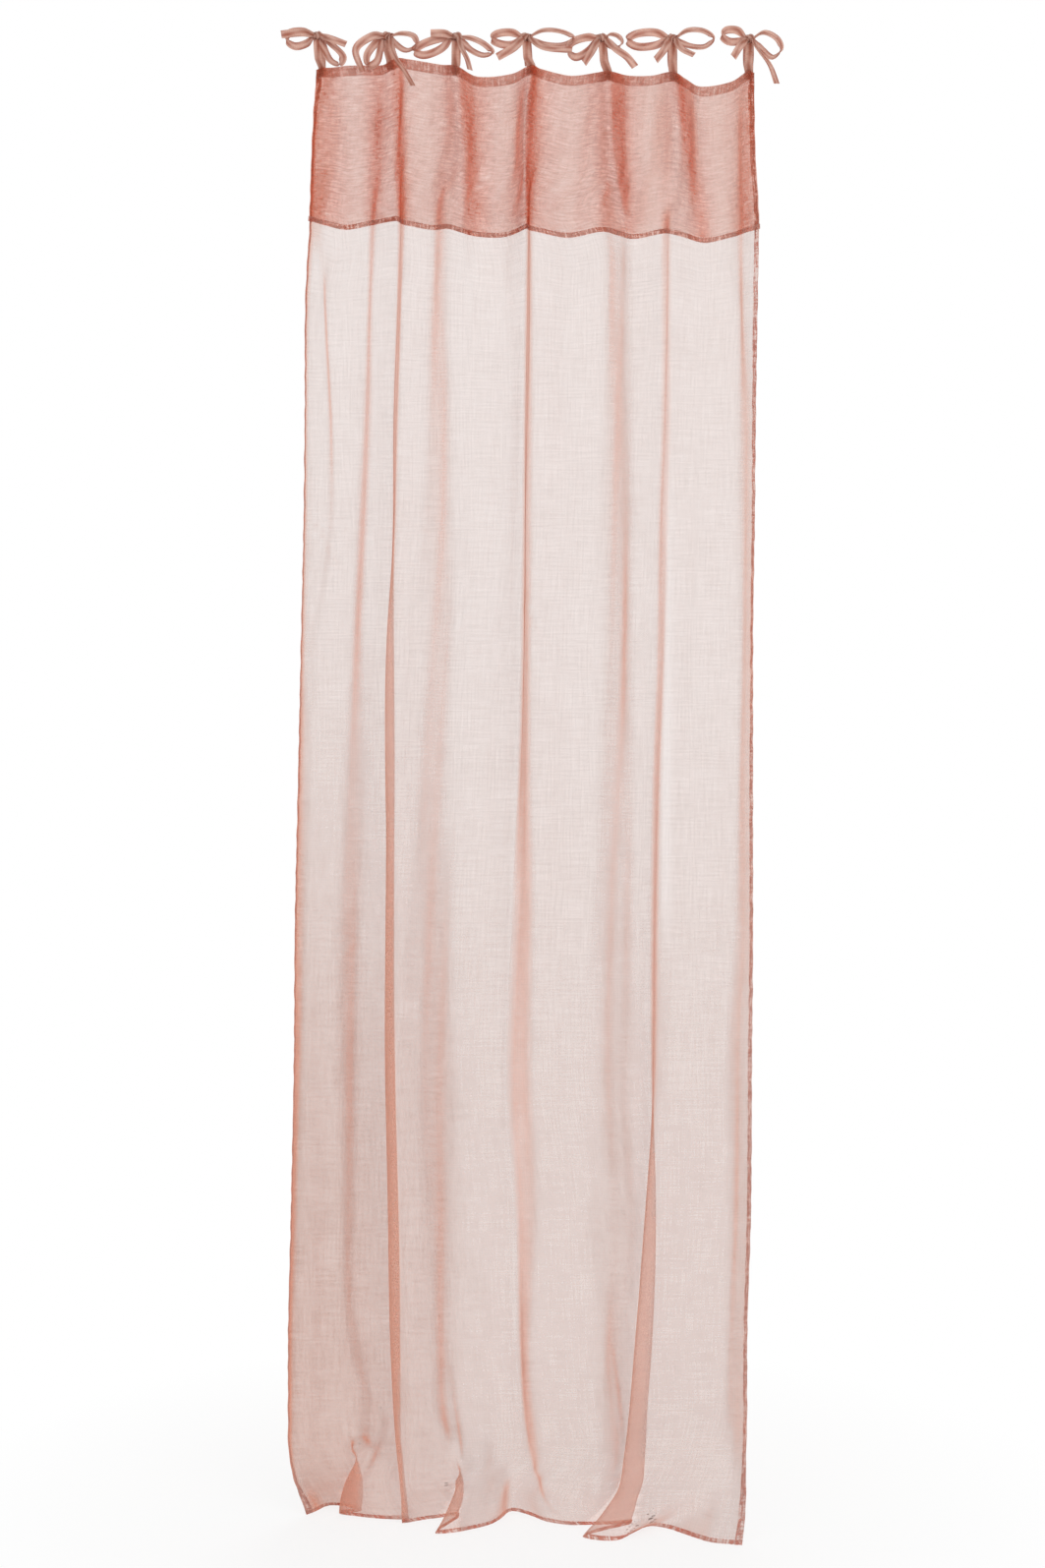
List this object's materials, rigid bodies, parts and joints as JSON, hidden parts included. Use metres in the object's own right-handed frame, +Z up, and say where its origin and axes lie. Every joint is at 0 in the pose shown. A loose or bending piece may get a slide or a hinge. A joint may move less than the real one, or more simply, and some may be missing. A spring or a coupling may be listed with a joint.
{
  "type": "voile curtain",
  "caption": "Sheer hanging curtain with a doubled header band and ribbon ties in bows that hold it to a round rod.",
  "frame": {"origin": "on the axis of the rod that the curtain hangs from, at the middle of the curtain's width", "axes": "+X along the rod to the right as seen from the front, +Y towards the back, +Z up"},
  "size_m": [0.8428, 0.1639, 2.541],
  "materials": {
    "voile_panel": "sheer plain weave",
    "header_flap": "sheer plain weave, doubled",
    "heading_tape": "matt woven tape",
    "tie_1": "matt woven ribbon",
    "tie_2": "matt woven ribbon",
    "tie_3": "matt woven ribbon",
    "tie_4": "matt woven ribbon",
    "tie_5": "matt woven ribbon",
    "tie_6": "matt woven ribbon",
    "tie_7": "matt woven ribbon"
  },
  "bodies": {
    "root": {"voile_panel": "voile_panel", "header_flap": "header_flap", "heading_tape": "heading_tape", "tie_1": "tie_1", "tie_2": "tie_2", "tie_3": "tie_3", "tie_4": "tie_4", "tie_5": "tie_5", "tie_6": "tie_6", "tie_7": "tie_7"}
  },
  "joints": []
}
